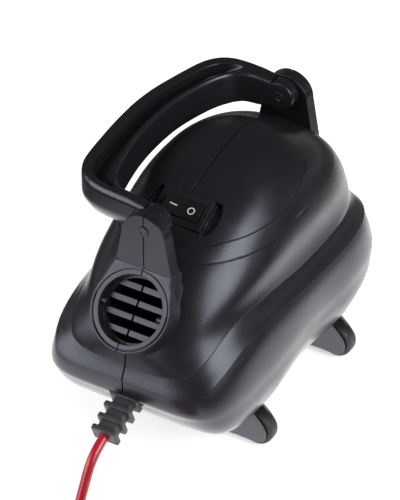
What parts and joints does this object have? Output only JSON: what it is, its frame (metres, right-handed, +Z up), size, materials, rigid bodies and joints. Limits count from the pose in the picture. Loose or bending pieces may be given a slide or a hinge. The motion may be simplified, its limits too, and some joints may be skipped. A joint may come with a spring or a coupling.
{
  "type": "car dryer blower",
  "caption": "Portable car dryer blower: rounded clamshell housing on swivel casters, tilted hose outlet, swing-over carry handle and mains cord.",
  "frame": {"origin": "on the floor, below the parting plane and midway between the front and rear swivel axes", "axes": "+X to the right of the blower, +Y from the hose outlet at the nose to the air inlet at the tail, +Z up"},
  "size_m": [0.2043, 0.5068, 0.2125],
  "materials": {
    "brass": "bright",
    "carbon": "carbon graphite",
    "casing": "satin, fine grain",
    "copper": "enamelled copper wire",
    "cord": "semi-gloss PVC",
    "fan": "glass-filled nylon",
    "foam": "open-cell foam",
    "handle": "satin",
    "lead_blue": "PVC",
    "lead_brown": "PVC",
    "motor_steel": "zinc plated sheet",
    "mount_rubber": "matte",
    "plug": "semi-gloss",
    "relief": "matte",
    "rocker": "satin",
    "stack": "laminated steel",
    "steel": "machined",
    "switch": "satin",
    "wheel": "satin",
    "yoke": "satin"
  },
  "bodies": {
    "root": {"left_casing": "casing", "right_casing": "casing", "casing_screws": "steel", "switch_frame": "switch", "switch_terminals": "brass", "strain_relief": "relief", "cord_clamp": "relief", "clamp_screws": "steel", "inner_cord": "cord", "mains_cord": "cord", "cord_coil": "cord", "cord_tie": "relief", "plug_body": "plug", "plug_pins": "steel", "handle_pins": "steel", "inlet_grille": "casing", "inlet_filter": "foam", "motor_frame": "motor_steel", "stator_core": "stack", "field_coils": "copper", "diffuser": "fan", "fan_shroud": "motor_steel", "front_mount": "mount_rubber", "rear_mount": "mount_rubber", "front_bearing": "steel", "rear_bearing": "steel", "brush_holders": "brass", "carbon_brushes": "carbon", "switch_lead": "lead_brown", "motor_lead": "lead_blue", "stem_sockets": "steel"},
    "handle": {"carry_handle": "handle"},
    "rocker": {"switch_rocker": "rocker"},
    "rotor": {"motor_shaft": "steel", "armature_core": "stack", "armature_winding": "copper", "commutator": "copper", "impeller": "fan", "impeller_nut": "steel"},
    "front_left_swivel": {"front_left_yoke": "yoke", "front_left_axle": "steel"},
    "front_left_roller": {"front_left_wheel": "wheel"},
    "front_right_swivel": {"front_right_yoke": "yoke", "front_right_axle": "steel"},
    "front_right_roller": {"front_right_wheel": "wheel"},
    "rear_left_swivel": {"rear_left_yoke": "yoke", "rear_left_axle": "steel"},
    "rear_left_roller": {"rear_left_wheel": "wheel"},
    "rear_right_swivel": {"rear_right_yoke": "yoke", "rear_right_axle": "steel"},
    "rear_right_roller": {"rear_right_wheel": "wheel"}
  },
  "joints": [
    {"name": "handle_swing", "type": "hinge", "parent": "root", "child": "handle", "pos_m": [0, -0.02, 0.1985], "axis": [0, 1, 0], "range_deg": [0, 180]},
    {"name": "rocker_press", "type": "hinge", "parent": "root", "child": "rocker", "pos_m": [0, -0.06154, 0.18262], "axis": [0, -0.8988, -0.4384], "range_deg": [0, 16]},
    {"name": "rotor_spin", "type": "hinge", "parent": "root", "child": "rotor", "pos_m": [0, 0, 0.098], "axis": [0, 1, 0], "continuous": true},
    {"name": "front_left_turn", "type": "hinge", "parent": "root", "child": "front_left_swivel", "pos_m": [-0.046, -0.058, 0.036], "axis": [0, 0, 1], "continuous": true},
    {"name": "front_left_roll", "type": "hinge", "parent": "front_left_swivel", "child": "front_left_roller", "pos_m": [-0.032, -0.058, 0.013], "axis": [0, 1, 0], "continuous": true},
    {"name": "front_right_turn", "type": "hinge", "parent": "root", "child": "front_right_swivel", "pos_m": [0.046, -0.058, 0.036], "axis": [0, 0, 1], "continuous": true},
    {"name": "front_right_roll", "type": "hinge", "parent": "front_right_swivel", "child": "front_right_roller", "pos_m": [0.06, -0.058, 0.013], "axis": [0, 1, 0], "continuous": true},
    {"name": "rear_left_turn", "type": "hinge", "parent": "root", "child": "rear_left_swivel", "pos_m": [-0.046, 0.058, 0.036], "axis": [0, 0, 1], "continuous": true},
    {"name": "rear_left_roll", "type": "hinge", "parent": "rear_left_swivel", "child": "rear_left_roller", "pos_m": [-0.032, 0.058, 0.013], "axis": [0, 1, 0], "continuous": true},
    {"name": "rear_right_turn", "type": "hinge", "parent": "root", "child": "rear_right_swivel", "pos_m": [0.046, 0.058, 0.036], "axis": [0, 0, 1], "continuous": true},
    {"name": "rear_right_roll", "type": "hinge", "parent": "rear_right_swivel", "child": "rear_right_roller", "pos_m": [0.06, 0.058, 0.013], "axis": [0, 1, 0], "continuous": true}
  ]
}
